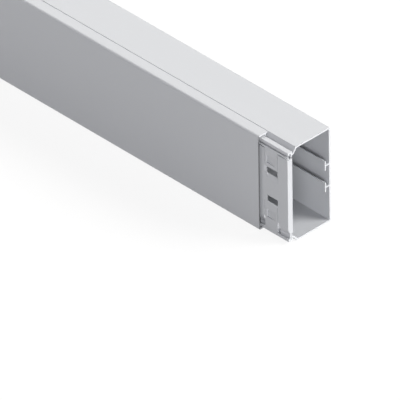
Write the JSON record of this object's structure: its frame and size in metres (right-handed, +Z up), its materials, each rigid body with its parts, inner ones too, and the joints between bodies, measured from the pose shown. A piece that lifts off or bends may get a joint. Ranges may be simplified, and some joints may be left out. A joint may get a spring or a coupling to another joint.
{
  "type": "cable trunking",
  "caption": "Surface-mounted plastic cable trunking: a channel base with fixing slots and divider rails, a clip-on cover cut back at one end, and a clip that keeps cables in.",
  "frame": {"origin": "middle of the underside, as the trunking runs along a wall", "axes": "+X along the length towards the end where the cover is cut back, +Y out of the back wall, +Z up the wall"},
  "size_m": [2, 0.06, 0.11],
  "materials": {
    "trunking": "satin extruded uPVC, light grey",
    "clip": "satin moulded plastic, light grey"
  },
  "bodies": {
    "root": {"base_channel": "trunking", "cover": "trunking", "retaining_clip": "clip"}
  },
  "joints": []
}
